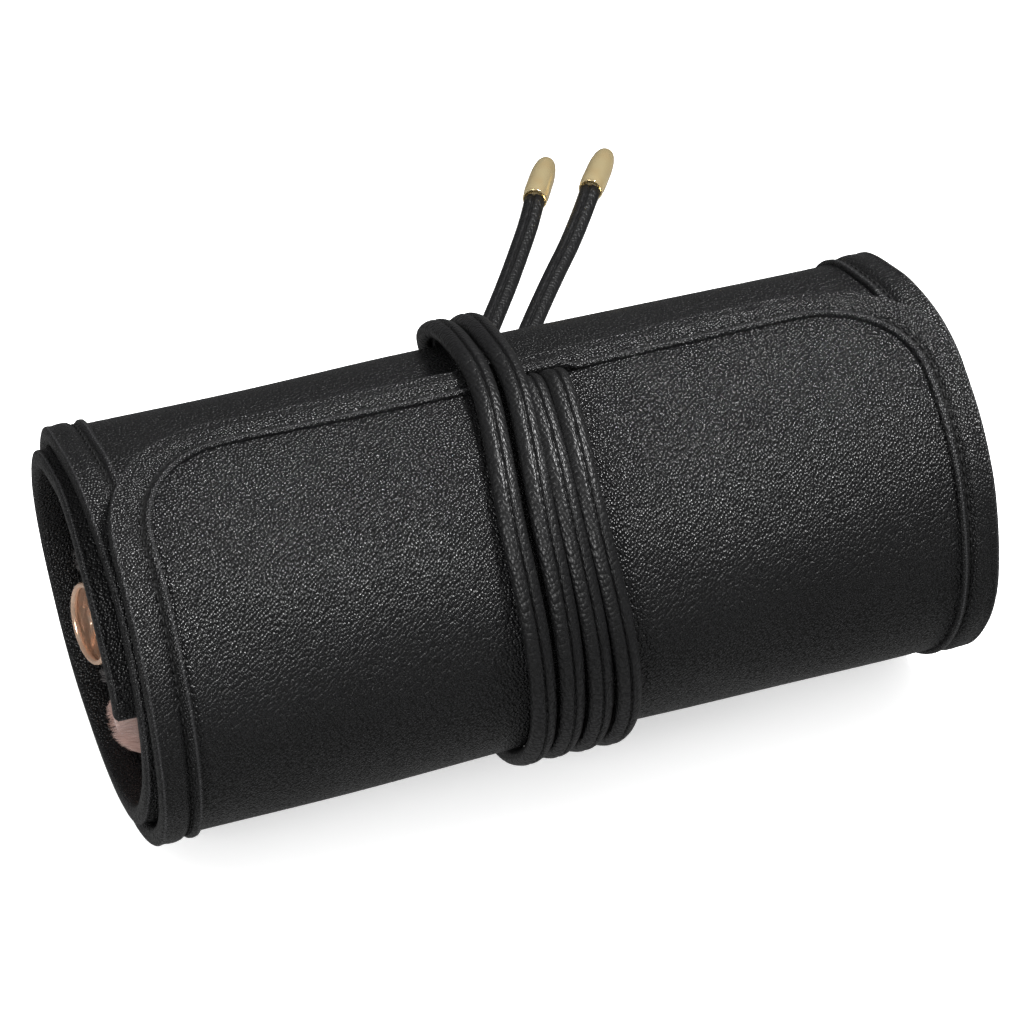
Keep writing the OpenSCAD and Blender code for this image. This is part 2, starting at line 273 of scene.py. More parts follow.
def pebbled_leather(name, cell, dark, light, gloss, depth, highlight_lines=(), grooves=()):
    """Black leather with a pressed pebble grain; its colour is darker in the valleys between pebbles
    as painted shade and lighter on their domes. cell is a pebble's width in metres.
    Across a folded tape, the highlight lines are places along its rounded edges where a thin lighter
    line is painted as a highlight, and grooves the dull sewn channels."""
    n = Nodes(name)
    flat = n.flat((1, 0.85, 0.3), 0.5)
    bent = n.bent(flat, 0.6 / cell, cell * 0.42)
    pebble = n.dome(n.cells(bent, 1 / cell))
    patch = n.noise(flat, 0.3 / cell, 2)
    folds = n.noise(flat, 0.05 / cell, 3)
    pore = n.noise(flat, 3.2 / cell, 2)
    relief = n.sum(n.sum(n.sum(pebble, patch, 0.28), folds, 1), pore, 0.1)
    wear = n.noise(flat, 22, 3, 0.6)
    # Colour follows the pebbles' height: painted shade in the valleys between them and lighter domes,
    # mixed with random wear tone
    pebble_shade_and_wear = n.sum(n.spread(pebble, 0.3, 1, 0, 0.75), n.spread(wear, 0.4, 0.75, 0, 1), 0.25)
    rough = n.spread(n.sum(pebble, wear, 0.5), 0.35, 1.25, gloss + 0.35, gloss - 0.04)
    colour = n.colours(pebble_shade_and_wear, dark, light)
    highlight_width, groove_width = 0.00045, 0.001
    # Painted highlight: a thin lighter line along each listed rounded edge of the tape, standing in
    # for light caught on its rim
    for place in highlight_lines:
        colour = n.blend(n.line(place, highlight_width), colour, (0.02, 0.02, 0.021))
    for place in grooves:
        rough = n.sum(rough, n.spread(n.line(place, groove_width), 0.1, 0.8, 0, 1), 0.5)
    n.shader.inputs["IOR"].default_value = 1.5
    return n.finish(colour, rough, relief, depth)


def tie_leather():
    n = Nodes("tie_leather")
    flat = n.flat((1, 0.7, 1), 0.35)
    creases = n.waves(n.bent(flat, 500, 0.0006), 420, 2.5)
    pebble = n.dome(n.cells(n.bent(flat, 700, 0.0004), 1250))
    relief = n.sum(pebble, creases, 0.12)
    wear = n.noise(flat, 60, 3)
    # Colour follows the relief: painted shade in the creases and valleys, lighter on the raised grain,
    # mixed with random wear tone
    colour = n.colours(n.sum(n.spread(relief, 0.3, 1.4, 0, 0.7), wear, 0.3),
                       (0.002, 0.002, 0.0022), (0.01, 0.01, 0.0105))
    return n.finish(colour, n.spread(relief, 0.2, 1.1, 0.55, 0.33), relief, 0.0002)


def lining_leather():
    n = Nodes("lining_leather")
    flat = n.flat()
    weave = n.sum(n.waves(flat, 520, 1.2), n.waves(flat, 520, 1.2, "Y"), 1.0)
    fuzz = n.noise(flat, 1400, 3)
    relief = n.sum(weave, fuzz, 0.9)
    colour = n.colours(n.noise(flat, 90, 4), (0.006, 0.006, 0.0065), (0.014, 0.0135, 0.0145))
    n.shader.inputs["Sheen Weight"].default_value = 0.06
    n.shader.inputs["Sheen Roughness"].default_value = 0.5
    n.shader.inputs["Specular IOR Level"].default_value = 0.35
    return n.finish(colour, n.spread(fuzz, 0.3, 0.7, 0.55, 0.75), relief, 0.00012)


def thread():
    n = Nodes("thread")
    flat = n.flat((1, 1, 1), 0.6)
    twist = n.waves(flat, 1300, 0.6)
    colour = n.colours(twist, (0.002, 0.002, 0.002), (0.011, 0.011, 0.0115))
    n.shader.inputs["Specular IOR Level"].default_value = 0.25
    return n.finish(colour, n.spread(twist, 0, 1, 0.6, 0.42), twist, 0.00006)


def polished_metal(name, tint, shade, gloss):
    n = Nodes(name)
    flat = n.flat()
    haze = n.noise(flat, 160, 4, 0.6)
    scratches = n.noise(n.flat((40, 900, 40)), 1.2, 2)
    colour = n.colours(n.spread(haze, 0.35, 0.7, 0, 1), tint, shade)
    n.shader.inputs["Metallic"].default_value = 0.8
    n.shader.inputs["Coat Weight"].default_value = 0.7
    n.shader.inputs["Coat Roughness"].default_value = 0.06
    rough = n.spread(n.sum(haze, scratches, 0.5), 0.5, 1.1, gloss, gloss + 0.1)
    return n.finish(colour, rough, n.sum(haze, scratches, 0.4), 0.00001, 0.5)


def lacquer():
    n = Nodes("brush_lacquer")
    flat = n.flat()
    grain = n.noise(n.flat((60, 900, 900)), 1, 3)
    peel = n.noise(flat, 320, 2)
    colour = n.colours(grain, (0.006, 0.005, 0.005), (0.02, 0.015, 0.014))
    n.shader.inputs["Coat Weight"].default_value = 0.8
    n.shader.inputs["Coat Roughness"].default_value = 0.12
    return n.finish(colour, n.spread(grain, 0.3, 0.7, 0.28, 0.4), peel, 0.00003)


def bristles(name, root, tip):
    """Hair whose colour runs from root to tip; its flat coordinates are (strand, along, 0)."""
    n = Nodes(name)
    strand = n.noise(n.flat((1, 0, 0)), 37, 1)
    along = n.noise(n.flat((9, 40, 1)), 9, 3)
    shift = n.sum(n.spread(strand, 0.3, 0.7, 0, 0.7), along, 0.35)
    colour = n.colours(shift, root, tip)
    n.shader.inputs["Sheen Weight"].default_value = 0.3
    return n.finish(colour, n.spread(strand, 0.3, 0.7, 0.45, 0.62), along, 0.00002, 0.4)


# ---- the folded tape's section, as distance from the sheet's edge and height above its outer face,
# and the places along its fold that get a painted highlight line on their rounded edges, and the sewn
# groove
TAPE_OUTLINE = np.array([
    (9.9, -0.6), (9.95, 0), (10.1, 0.5), (10.05, 0.95), (9.8, 1.2), (9.3, 1.3),
    (8.7, 1.22), (8.25, 0.86), (7.9, 0.3), (7.6, 0.06), (7.15, 0.06), (6.8, 0.34), (6.45, 0.78),
    (5.9, 1.12), (5.0, 1.32), (4, 1.36), (3, 1.26), (2.3, 1.14), (1.7, 1.18), (1.2, 1.3),
    (0.7, 1.26), (0.28, 0.95), (0.02, 0.4), (-0.1, -0.4), (-0.12, -1.5), (-0.06, -2.1),
    (0.2, -2.8), (0.75, -3.3), (1.6, -3.55),
    (4, -3.66), (6.4, -3.56), (7.1, -3.32), (7.6, -3.2), (8.1, -3.24), (8.6, -3.5),
    (9.4, -3.6), (9.95, -3.42), (10.1, -3.1), (9.9, -2.4),
])
FOLD_LENGTH = np.concatenate(
    [[0], np.cumsum(np.linalg.norm(np.diff(TAPE_OUTLINE, axis=0), axis=1))])


def fold_place(d, height):
    """Metres along the fold to the outline's point nearest to (d, height)."""
    gap = np.hypot(TAPE_OUTLINE[:, 0] - d, TAPE_OUTLINE[:, 1] - height)
    return FOLD_LENGTH[np.argmin(gap)] * MM


# Places along the fold that get a painted highlight line on the rounded edges
RIM_HIGHLIGHT_LINES = [fold_place(9.3, 1.3), fold_place(0.7, 1.26)]
GROOVE = [fold_place(7.4, 0)]

# ---- materials in use
LEATHER = pebbled_leather(
    "shell_leather", 0.0007, (0.0015, 0.0015, 0.0017), (0.0073, 0.0073, 0.0078), 0.24, 0.00041
)
TAPE = pebbled_leather(
    "edge_leather", 0.00067, (0.0015, 0.0015, 0.0017), (0.0078, 0.0078, 0.0083), 0.25, 0.00037, RIM_HIGHLIGHT_LINES,
    GROOVE,
)
TIES = tie_leather()
LINING = lining_leather()
THREAD = thread()
GOLD = polished_metal("polished_gold", (1.0, 0.82, 0.46), (0.96, 0.73, 0.38), 0.12)
ROSE_GOLD = polished_metal("rose_gold", (1.0, 0.72, 0.54), (0.96, 0.62, 0.43), 0.18)
LACQUER = lacquer()
PINK_HAIR = bristles("powder_bristles", (0.2, 0.115, 0.095), (0.45, 0.29, 0.245))
DARK_HAIR = bristles("dark_bristles", (0.008, 0.006, 0.006), (0.035, 0.026, 0.024))


# ---- mesh helpers
class Shape:
    """Collects tubes of points (mm) and their flat coordinates, and makes one piece of them."""

    def __init__(self):
        self.points = []
        self.flats = []
        self.faces = []
        self.count = 0

    def tube(self, rings, flats, capped=False):
        """Closed outlines rings[n][m] joined one to the next, with their faces turned outwards."""
        rings = np.asarray(rings, float)
        n, m = rings.shape[:2]
        index = np.arange(n * m).reshape(n, m) + self.count
        a, b = index[:-1], index[1:]
        quads = np.stack([a, b, np.roll(b, -1, 1), np.roll(a, -1, 1)], -1).reshape(-1, 4)
        first, second = rings[0], rings[1]
        middle = (first + np.roll(first, -1, 0) + second + np.roll(second, -1, 0)) / 4
        normal = np.cross(np.roll(second, -1, 0) - first, np.roll(first, -1, 0) - second)
        inwards = (normal * (middle - middle.mean(0))).sum() < 0
        faces = quads.tolist()
        if capped:
            faces.append(index[0].tolist())
            faces.append(index[-1][::-1].tolist())
        if inwards:
            faces = [face[::-1] for face in faces]
        self.faces += faces
        self.points.append(rings.reshape(-1, 3))
        self.flats.append(np.broadcast_to(flats, rings.shape).reshape(-1, 3))
        self.count += n * m

    def piece(self, name, material, slot, body=None, replaces=()):
        mesh = bpy.data.meshes.new(name)
        mesh.from_pydata((np.concatenate(self.points) * MM).tolist(), [], self.faces)
        flat = mesh.attributes.new("flat", "FLOAT_VECTOR", "POINT")
        flat.data.foreach_set("vector", (np.concatenate(self.flats) * MM).ravel())
        mesh.materials.append(material)
        mesh.shade_smooth()
        mesh.update()
        piece = bpy.data.objects.new(name, mesh)
        bpy.context.scene.collection.objects.link(piece)
        if replaces:
            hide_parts(*replaces)
        if body:
            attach(piece, body)
        return piece


def ease(t):
    return t * t * (3 - 2 * t)


def along(table, p):
    """Values at angles p in a table whose angles fall."""
    marks = -np.array([row[0] for row in table], float)
    values = np.array([row[1] for row in table], float)
    q = np.clip(-np.asarray(p, float), marks[0], marks[-1])
    i = np.clip(np.searchsorted(marks, q, side="right") - 1, 0, len(table) - 2)
    t = (q - marks[i]) / (marks[i + 1] - marks[i])
    return values[i] + (values[i + 1] - values[i]) * ease(t)


def section(p, depth):
    """Y and Z at angle p, a depth under the roll's outline."""
    a = np.radians(p)
    ny, nz = -ROLL_B * np.cos(a), ROLL_A * np.sin(a)
    size = np.hypot(ny, nz)
    y = -ROLL_A * np.cos(a) - depth * ny / size
    z = ROLL_B * np.sin(a) - depth * nz / size + AXIS_Z
    return y, z


# Length of the sheet from the free edge inwards, against the angle
P_MARKS = np.arange(125, SHEET_END - 8, -0.25)
Y_MARKS, Z_MARKS = section(P_MARKS, along(DEPTHS, P_MARKS))
S_MARKS = np.concatenate([[0], np.cumsum(np.hypot(np.diff(Y_MARKS), np.diff(Z_MARKS)))])
S_MARKS -= np.interp(-FLAP_TOP, -P_MARKS, S_MARKS)


def angle_at(s):
    return -np.interp(s, S_MARKS, -P_MARKS)


def length_at(p):
    return np.interp(-np.asarray(p, float), -P_MARKS, S_MARKS)


def handling(x, p, depth):
    """Soft dents and swells, the same in every layer at one place, fading towards the middle."""
    a = np.radians(p)
    swell = 0.26 * np.sin(3 * a + x / 34 + 0.6) + 0.2 * np.sin(5 * a - x / 21 + 2.1)
    swell = swell + 0.1 * np.sin(9 * a + x / 12)
    pinch = -0.4 * np.exp(-((x + 0.5) / 17) ** 2) * np.cos(a / 2 - 0.3) ** 2
    crown = 1.1 * np.exp(-((np.mod(p, 360) - 134) / 26) ** 2)
    return (swell + pinch + crown) * np.clip(1 - depth / 22, 0, 1)


def surface(x, s, h):
    """The point x across and s along the flat sheet, h above its outer face."""
    x, s, h = np.broadcast_arrays(np.asarray(x, float), s, h)
    p = angle_at(s)
    across = x + along(SLIPS, p) + 0.35 * np.sin(s / 19 + 1.0) * (x / HALF) ** 2
    across = across + along(FLARES, p) * np.clip(x / HALF, 0, 1) ** 3
    depth = along(DEPTHS, p)
    droop = 0.5 * np.clip(1 - s / 16, 0, 1.2) ** 2
    y, z = section(p, depth + droop - h - handling(across, p, depth))
    return np.stack([across, y, z], -1)


# ---- ties: two wraps held on the roll and two free tails on the table
def tie_outline(width=TIE_W, thick=TIE_T):
    """Two rounded lobes with a sewn groove between them, as (across, up) points."""
    t = np.array([-1, -0.97, -0.88, -0.72, -0.52, -0.32, -0.18, -0.08, 0, 0.06, 0.12, 0.18,
                  0.26, 0.38, 0.55, 0.74, 0.89, 0.97])
    rise = (1 - np.abs(t) ** 2.2) ** 0.5 * (1 - 0.42 * np.exp(-((t - 0.06) / 0.11) ** 2))
    top = np.stack([t * width / 2, rise * thick / 2], 1)
    low = np.stack([-t * width / 2, -rise * thick / 2], 1)
    return np.concatenate([top, low])


def swept_tie(centres, flat_way, scales=None):
    """Rings of the tie's outline along centres; flat_way is the direction across the tie."""
    centres = np.asarray(centres, float)
    tangent = np.gradient(centres, axis=0)
    tangent /= np.linalg.norm(tangent, axis=1, keepdims=True)
    across = flat_way - (flat_way * tangent).sum(1, keepdims=True) * tangent
    across /= np.linalg.norm(across, axis=1, keepdims=True)
    up = np.cross(tangent, across)
    outline = tie_outline()
    scales = np.ones((len(centres), 2)) if scales is None else scales
    rings = (
        centres[:, None]
        + across[:, None] * (outline[None, :, :1] * scales[:, None, :1])
        + up[:, None] * (outline[None, :, 1:] * scales[:, None, 1:])
    )
    length = np.concatenate([[0], np.cumsum(np.linalg.norm(np.diff(centres, axis=0), axis=1))])
    turn = np.arange(len(outline)) / len(outline) * (2 * TIE_W + TIE_T)
    flats = np.stack(np.broadcast_arrays(turn[None, :], length[:, None], 0.0), -1)
    return rings, flats


def smooth_path(points, spacing):
    """A cubic through the points, sampled at about the spacing."""
    points = np.asarray(points, float)
    steps = np.concatenate([[0], np.cumsum(np.linalg.norm(np.diff(points, axis=0), axis=1))])
    slope = np.gradient(points, steps, axis=0)
    samples = np.linspace(0, steps[-1], int(steps[-1] / spacing) + 1)
    i = np.clip(np.searchsorted(steps, samples, side="right") - 1, 0, len(points) - 2)
    width = (steps[i + 1] - steps[i])[:, None]
    t = ((samples - steps[i])[:, None]) / width
    return (
        (2 * t ** 3 - 3 * t ** 2 + 1) * points[i] + (t ** 3 - 2 * t ** 2 + t) * width * slope[i]
        + (3 * t ** 2 - 2 * t ** 3) * points[i + 1] + (t ** 3 - t ** 2) * width * slope[i + 1]
    )


# The wrap's height over the outline, its thickness share and its width share, against the angle
TIE_HEIGHTS = [
    (91, 0.9), (84, 2.9), (70, 2.5), (-45, 2.5), (-90, 3.5), (-135, 2.5), (-235, 2.6),
    (-262, 3.5), (-275, 3.3), (-290, 2.5), (-405, 2.5), (-450, 3.5),
]
TIE_SWELLS = [(91, 0.35), (83, 1), (-450, 1)]
TIE_SPREADS = [(91, 1), (-150, 1), (-225, 1.14), (-290, 1), (-450, 1)]


def tie_wrap(name, table, side, cad_node):
    """One tie's turns over the roll's soft swells, but flat where the roll stands on them."""
    p = np.arange(WRAP_START, WRAP_STOP - 0.1, -2.5)
    x = along(table, p)
    height = along(TIE_HEIGHTS, p)
    off_floor = ease(np.clip((np.abs(np.mod(p, 360) - 270) - 15) / 30, 0, 1))
    pressed = handling(x, p, 0 * p) * off_floor
    y, z = section(p, -height - pressed)
    sway = 0.22 * np.sin(p / 23 + side)
    centres = np.stack([x + sway, y, z], 1)
    run = [[table[-1][1] + sway[-1], step, TIE_T / 2] for step in np.arange(4, WRAP_END_Y + 3, 3)]
    centres = np.concatenate([centres, run])
    scales = np.ones((len(centres), 2))
    scales[:len(p), 0] = along(TIE_SPREADS, p)
    scales[:len(p), 1] = along(TIE_SWELLS, p)
    rings, flats = swept_tie(centres, np.array([[1.0, 0, 0]]), scales)
    shape = Shape()
    shape.tube(rings, flats, capped=True)
    piece = shape.piece(name, TIES, "tie_leather", "root", [cad_node])
    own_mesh(piece)
    return piece


def end_cap(name, points, cad_node, body, dented):
    """A bullet-shaped metal cap with a rolled mouth, crimped on the end of a tail."""
    points = np.array(points, float)
    way = points[-1] - points[-3]
    turn = math.atan2(way[1], way[0])
    mouth = TIE_W / 2 + 0.5
    profile = [(mouth - 0.7, 3.2), (mouth - 0.5, 0.5), (mouth - 0.3, 0.05), (mouth - 0.05, 0),
               (mouth + 0.12, 0.18), (mouth + 0.12, 0.5), (mouth - 0.02, 0.72),
               (mouth + 0.06, 1.1), (CAP_D / 2, 2.6), (CAP_D / 2 + 0.05, 5), (CAP_D / 2, 8)]
    profile += [
        (CAP_D * (0.245 + 0.255 * math.cos(math.radians(k))),
         CAP_LEN * (0.45 + 0.5 * math.sin(math.radians(k)))) for k in range(8, 87, 6)
    ]
    profile += [(CAP_D * 0.2, CAP_LEN * 0.968), (CAP_D * 0.12, CAP_LEN * 0.99),
                (CAP_D * 0.03, CAP_LEN)]
    sides = np.radians(np.arange(0, 360, 6))
    rings = []
    for r, length in profile:
        radius = np.full(len(sides), float(r))
        if dented:
            near_length = np.exp(-((length - 4.6) / 1.1) ** 2)
            near_side = np.exp(-((sides - math.pi * 1.25) / 0.3) ** 2)
            radius -= 0.5 * near_length * near_side
        across = radius * np.cos(sides)
        up = radius * np.sin(sides)
        rings.append(np.stack([
            points[-1][0] + length * math.cos(turn) - across * math.sin(turn),
            points[-1][1] + length * math.sin(turn) + across * math.cos(turn),
            CAP_D / 2 + up,
        ], 1))
    rings = np.array(rings)
    flats = np.stack(np.broadcast_arrays(
        sides[None, :] * CAP_D / 2, np.array([row[1] for row in profile])[:, None], 0.0), -1)
    shape = Shape()
    shape.tube(rings, flats, capped=True)
    return shape.piece(name, GOLD, "polished_gold", body, [cad_node])


def tie_tail(side, points, dented):
    """A free tail on the table with its cap. The photo shows a dent in the left one's cap."""
    body = "tail_" + side
    cap = end_cap("tie_cap_" + side, points, "end_cap_" + side, body, dented)
    path = smooth_path(points, 2.5)
    tangent = np.gradient(path, axis=0)
    flat_way = np.cross(tangent, [0, 0, 1])
    rings, flats = swept_tie(path, flat_way)
    shape = Shape()
    shape.tube(rings, flats, capped=True)
    piece = shape.piece("free_tail_" + side, TIES, "tie_leather", body, ["tie_tail_" + side])
    length = np.linalg.norm(np.diff(path, axis=0), axis=1).sum()


tie_wrap("wound_tie_left", WRAP_LEFT, 0.0, "tie_wrap_left")
tie_wrap("wound_tie_right", WRAP_RIGHT, 1.7, "tie_wrap_right")
tie_tail("left", TAIL_LEFT, True)
tie_tail("right", TAIL_RIGHT, False)


# ---- the sheet: skin, lining and the tape folded over its edges
def edge_inset(s, inset):
    """How far the flap's rounded outline lies inside the sheet's side, at s from the free edge."""
    r = CORNER_R - inset
    up = np.clip(CORNER_R - s, 0, r)
    return inset + r - np.sqrt(np.clip(r * r - up * up, 0, None))


def slab(shape, s_rows, columns, low, high, inset=1.0, rounded=True, capped=False):
    """A layer of the sheet between the heights low and high."""
    s = np.asarray(s_rows, float)[:, None]
    side = HALF - (edge_inset(s, inset) if rounded else inset)
    x = np.linspace(-1, 1, columns)[None, :] * side
    top = surface(x, s, high)
    under = surface(x, s, low)
    rings = np.concatenate([top, under[:, ::-1]], 1)
    flat_top = np.stack(np.broadcast_arrays(x, s, high), -1)
    flat_under = np.stack(np.broadcast_arrays(x, s, low), -1)
    shape.tube(rings, np.concatenate([flat_top, flat_under[:, ::-1]], 1), capped)


def bulge(x, s):
    """The tape's rise over the ends of the two ties, sewn under it."""
    rise = 0
    for tie in (WRAP_LEFT, WRAP_RIGHT):
        rise = rise + np.exp(-(np.abs(x - tie[0][1]) / 3.7) ** 3)
    return 2.1 * rise * np.exp(-((s - 9.4) / 3.4) ** 2)


def sewn_tape(shape, edge, inward, capped=False):
    """The folded tape along edge[n] = (x, s), whose inward directions are inward[n]."""
    edge, inward = np.asarray(edge, float), np.asarray(inward, float)
    run = np.concatenate([[0], np.cumsum(np.linalg.norm(np.diff(edge, axis=0), axis=1))])
    d = TAPE_OUTLINE[None, :, 0]
    puff = 0.06 * np.sin(run / 2.9) + 0.05 * np.sin(run / 7.3 + 1)
    height = TAPE_OUTLINE[None, :, 1] + puff[:, None] * np.clip((8 - d) / 6, 0, 1) * (
        TAPE_OUTLINE[None, :, 1] > -0.5)
    x = edge[:, :1] + inward[:, :1] * d
    s = edge[:, 1:] + inward[:, 1:] * d
    height = height + bulge(x, s) * np.clip(TAPE_OUTLINE[None, :, 1] + 0.6, 0, 1)
    flats = np.stack(np.broadcast_arrays(FOLD_LENGTH[None, :], run[:, None], 0.0), -1)
    shape.tube(surface(x, s, height), flats, capped)


def outline_run(d, s_end):
    """Points (x, s) and inward directions of the flap's outline, d inside it, left to right."""
    r = CORNER_R
    sides = int((s_end - r) / 1.5)
    turns = np.radians(np.arange(2.5, 90, 2.5))
    points, inward = [], []
    for s in np.linspace(s_end, r, sides):
        points.append((-HALF, s))
        inward.append((1, 0))
    for turn in turns:
        points.append((-HALF + r - r * math.cos(turn), r - r * math.sin(turn)))
        inward.append((math.cos(turn), math.sin(turn)))
    for x in np.linspace(-HALF + r, HALF - r, 97):
        points.append((x, 0))
        inward.append((0, 1))
    for turn in turns[::-1]:
        points.append((HALF - r + r * math.cos(turn), r - r * math.sin(turn)))
        inward.append((-math.cos(turn), math.sin(turn)))
    for s in np.linspace(r, s_end, sides):
        points.append((HALF, s))
        inward.append((-1, 0))
    points, inward = np.array(points), np.array(inward, float)
    return points + d * inward, inward


STITCH_PITCH = 2.75
STITCH_LEN = 2.05
STITCH_SIDES = np.radians(np.arange(0, 360, 60))
STITCH_D = 7.38
OUTER_STITCH = 0.2
INNER_STITCH = -3.36


def stitches(shape, path, height, place):
    """A row of thread stitches along the flat path, at a height over the face that place gives."""
    path = np.asarray(path, float)
    run = np.concatenate([[0], np.cumsum(np.linalg.norm(np.diff(path, axis=0), axis=1))])
    starts = np.arange(0.4, run[-1] - STITCH_LEN, STITCH_PITCH)
    t = starts[:, None] + STITCH_LEN * np.array([0, 0.12, 0.5, 0.88, 1])
    sink = np.array([-0.35, 0, 0.1, 0, -0.35]) * (1 if height > -1 else -1)
    radius = np.array([0.13, 0.27, 0.3, 0.27, 0.13])
    x = np.interp(t, run, path[:, 0])
    s = np.interp(t, run, path[:, 1])
    centres = place(x, s, height + sink[None, :])
    normal = place(x, s, height + 0.5) - place(x, s, height - 0.5)
    tangent = np.gradient(centres, axis=1)
    across = np.cross(tangent, normal)
    across /= np.linalg.norm(across, axis=-1, keepdims=True)
    normal /= np.linalg.norm(normal, axis=-1, keepdims=True)
    rings = centres[:, :, None] + radius[None, :, None, None] * (
        across[:, :, None] * np.cos(STITCH_SIDES)[:, None]
        + normal[:, :, None] * np.sin(STITCH_SIDES)[:, None])
    around = np.arange(6) * 0.25
    for i in range(len(starts)):
        flats = np.stack(np.broadcast_arrays(around[None, :], t[i][:, None], 0.0), -1)
        shape.tube(rings[i], flats, capped=True)


def middle_point(p):
    """A point of the sheet's middle at angle p, in metres."""
    return (surface(0, length_at(p), -SHEET / 2) * MM).tolist()


def flap_strip(k):
    """The sheet from the middle of one flap body to the middle of the next, across a hinge."""
    hinge = FLAP_ROOT + (k - 1) * FLAP_STEP
    last = k == FLAP_PARTS
    p_low, p_high = hinge - FLAP_STEP / 2, hinge + FLAP_STEP / 2
    s_low = float(length_at(p_low))
    s_high = 1.0 if last else float(length_at(p_high))
    rows = np.arange(s_low, s_high, -1.0)
    if last:
        turn = np.radians(np.arange(0, 91, 2))
        arc = 1.0 + (CORNER_R - 1) * (1 - np.cos(turn))
        rows = np.concatenate([np.arange(s_low, CORNER_R + 0.5, -1.0), arc[::-1]])
    elif rows[-1] - s_high < 0.3:
        rows[-1] = s_high
    else:
        rows = np.append(rows, s_high)
    skin, inside, binding, sewing = Shape(), Shape(), Shape(), Shape()
    slab(skin, rows, 86, -COVER, 0)
    slab(inside, rows, 54, -SHEET, -COVER)
    edge, inward = outline_run(0, s_low if last else 400)
    seam_out, _ = outline_run(STITCH_D, s_low if last else 400)
    if last:
        sewn_tape(binding, edge, inward)
        stitches(sewing, seam_out, OUTER_STITCH, surface)
        stitches(sewing, seam_out, INNER_STITCH, surface)
    else:
        run = np.append(np.arange(s_low, s_high + 0.2, -1.5), s_high)
        for side in (-1, 1):
            edge = np.stack([np.full(len(run), side * HALF), run], 1)
            sewn_tape(binding, edge, np.tile([-side, 0], (len(run), 1)))
            seam = edge + np.array([-side * STITCH_D, 0])
            stitches(sewing, seam, OUTER_STITCH, surface)
            stitches(sewing, seam, INNER_STITCH, surface)
    tape_nodes = [f"flap_tape_{k}"] + (["tie_anchor"] if last else [])
    pieces = [
        skin.piece(f"flap_skin_{k}", LEATHER, "shell_leather", None, [f"flap_panel_{k}"]),
        inside.piece(f"flap_inside_{k}", LINING, "lining_leather", None, [f"flap_lining_{k}"]),
        binding.piece(f"flap_binding_{k}", TAPE, "edge_tape", None, tape_nodes),
        sewing.piece(f"flap_stitches_{k}", THREAD, "edge_tape"),
    ]
    for piece in pieces:
        middle_point(p_low + 1.5)
        middle_point(p_high - 1.5)
        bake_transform(piece)


for part in range(1, FLAP_PARTS + 1):
    flap_strip(part)


def rolled_turns():
    """The rest of the sheet, from the flap's root in to its inner end."""
    s_root = float(length_at(FLAP_ROOT - FLAP_STEP / 2))
    s_end = float(length_at(SHEET_END))
    skin, inside, sewing = Shape(), Shape(), Shape()
    rows = np.append(np.arange(s_root, s_end - 1, 1.25), s_end - 0.5)
    slab(skin, rows, 62, -COVER, 0, rounded=False, capped=True)
    slab(inside, rows, 54, -SHEET, -COVER, rounded=False)
    cover = skin.piece(
        "case_cover", LEATHER, "shell_leather", "root", ["outer_cover", "inner_cover"])
    sewn_on = [inside.piece(
        "case_inside", LINING, "lining_leather", "root", ["outer_lining", "inner_lining"])]
    run = np.append(np.arange(s_root, s_end - 1, 1.5), s_end)
    for side, word in ((-1, "left"), (1, "right")):
        binding = Shape()
        edge = np.stack([np.full(len(run), side * HALF), run], 1)
        sewn_tape(binding, edge, np.tile([-side, 0], (len(run), 1)))
        sewn_on.append(binding.piece(
            f"case_binding_{word}", TAPE, "edge_tape", "root",
            [f"outer_tape_{word}", f"inner_tape_{word}"]))
        seam = edge + np.array([-side * STITCH_D, 0])
        stitches(sewing, seam, OUTER_STITCH, surface)
        stitches(sewing, seam, INNER_STITCH, surface)
    end = Shape()
    x = np.linspace(-HALF + 0.5, HALF - 0.5, 110)
    edge = np.stack([x, np.full(len(x), s_end + 0.6)], 1)
    sewn_tape(end, edge, np.tile([0, -1], (len(x), 1)), capped=True)
    sewn_on.append(end.piece("case_binding_end", TAPE, "edge_tape", "root", ["inner_end_tape"]))
    seam = edge[8:-8] - np.array([0, STITCH_D])
    stitches(sewing, seam, OUTER_STITCH, surface)
    stitches(sewing, seam, INNER_STITCH, surface)
    sewn_on.append(sewing.piece("case_stitches", THREAD, "edge_tape", "root"))


rolled_turns()

# ---- pocket, sewn to the lining between its channels
POCKET_SEAMS = [-82, -106, -130, -154, -178, -200]
POCKET_RISE = [13.6, 8.3, 8.3, 12.2, 10.9]
POCKET_FLOOR = 8.4
POCKET_T = 1.2


def pocket_depth(p):
    seams = -np.array(POCKET_SEAMS, float)
    i = np.clip(np.searchsorted(seams, -p, side="right") - 1, 0, len(POCKET_RISE) - 1)
    t = (-p - seams[i]) / (seams[i + 1] - seams[i])
    return POCKET_FLOOR + np.array(POCKET_RISE)[i] * np.abs(np.sin(np.pi * t)) ** 0.45


def pocket_surface(x, p, h):
    """The pocket's face towards the lining at x and angle p, h further in."""
    x, p, h = np.broadcast_arrays(np.asarray(x, float), p, h)
    y, z = section(p, pocket_depth(p) + h)
    return np.stack([x, y, z], -1)


